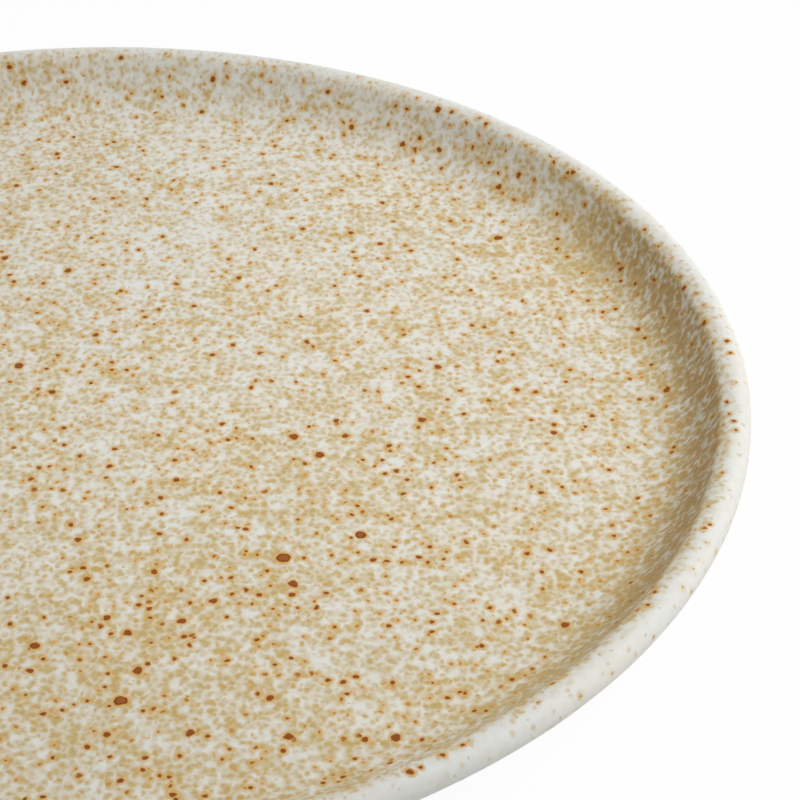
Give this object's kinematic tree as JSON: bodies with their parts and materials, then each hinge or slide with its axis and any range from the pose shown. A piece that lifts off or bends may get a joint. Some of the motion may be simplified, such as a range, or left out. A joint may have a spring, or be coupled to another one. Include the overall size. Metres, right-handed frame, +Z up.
{
  "type": "flat plate",
  "caption": "Round flat plate of speckled glazed stoneware with a shallow coved edge, a rounded lip and a bare foot ring, for serving food.",
  "frame": {"origin": "on the turning axis, in the plane that the foot ring stands on", "axes": "+Z up along the turning axis, out of the plate's face; in the picture's view +X is to the right and +Y away from the viewer"},
  "size_m": [0.27, 0.27, 0.019],
  "materials": {
    "bare_clay": "unglazed buff stoneware, dry and slightly gritty",
    "speckled_glaze": "satin off-white glaze, mottled with tan dots and rust-brown iron specks, breaking to plain white on the lip",
    "foot_glaze": "satin off-white glaze with few specks"
  },
  "bodies": {
    "root": {"stoneware_body": "bare_clay", "face_glaze": "speckled_glaze", "foot_well_glaze": "foot_glaze"}
  },
  "joints": []
}
